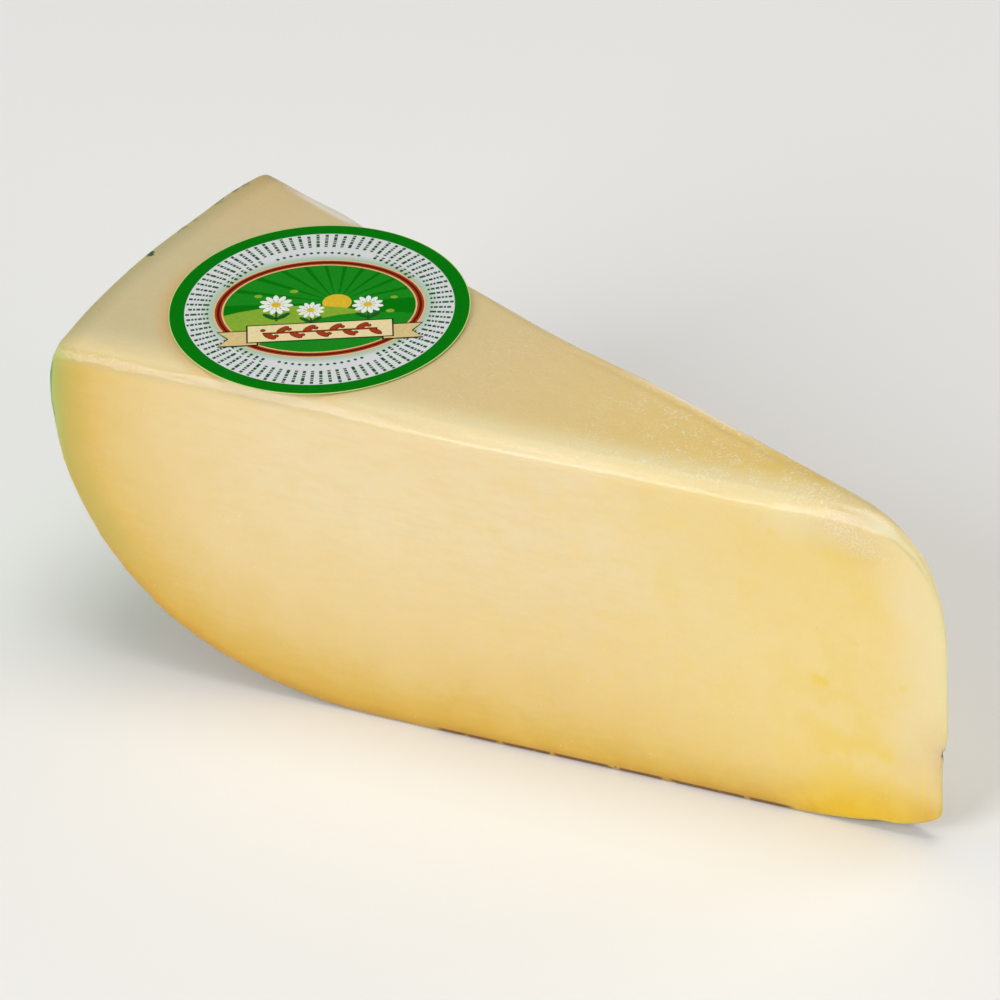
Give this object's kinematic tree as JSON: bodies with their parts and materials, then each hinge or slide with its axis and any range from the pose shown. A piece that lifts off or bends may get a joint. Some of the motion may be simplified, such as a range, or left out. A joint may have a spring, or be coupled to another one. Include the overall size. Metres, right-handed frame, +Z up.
{
  "type": "goat cheese wedge",
  "caption": "Boat-shaped wedge of semi-hard goat cheese: flat cut top and sides, curved green rind under the rim, worn point, round paper label on top.",
  "frame": {"origin": "middle of the footprint, on the surface the cheese rests on", "axes": "+X from the rim to the point, +Y towards the far cut side, +Z up"},
  "size_m": [0.1302, 0.0512, 0.0516],
  "materials": {
    "cheese": "moist pale yellow cheese paste with a satin gloss, green coating on the rim and underside",
    "label": "coated label paper, printed in green, cream and russet"
  },
  "bodies": {
    "root": {"cheese": "cheese", "label": "label"}
  },
  "joints": []
}
